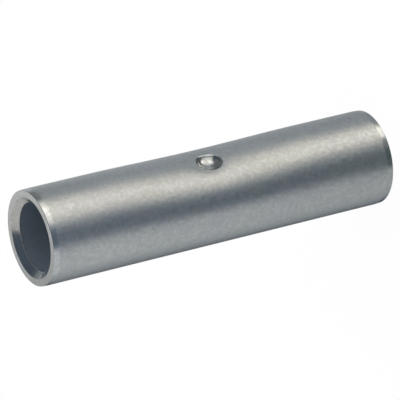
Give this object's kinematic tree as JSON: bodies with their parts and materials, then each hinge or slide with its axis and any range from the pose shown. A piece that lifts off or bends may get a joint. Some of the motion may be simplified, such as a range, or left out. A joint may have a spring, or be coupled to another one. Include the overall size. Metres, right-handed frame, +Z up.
{
  "type": "butt splice connector",
  "caption": "Straight plated metal tube that joins two cable ends: an open flared socket at each end and a punched stop dimple half way along.",
  "frame": {"origin": "middle of the lower end face, on the tube's axis, where the sleeve stands", "axes": "+Z up along the tube's axis towards the upper socket, -Y out through the stop dimple at the front, +X across"},
  "size_m": [0.01, 0.01, 0.04],
  "materials": {
    "tinned_metal": "satin plated metal, with brighter turned edges at both ends"
  },
  "bodies": {
    "root": {"splice_sleeve": "tinned_metal"}
  },
  "joints": []
}
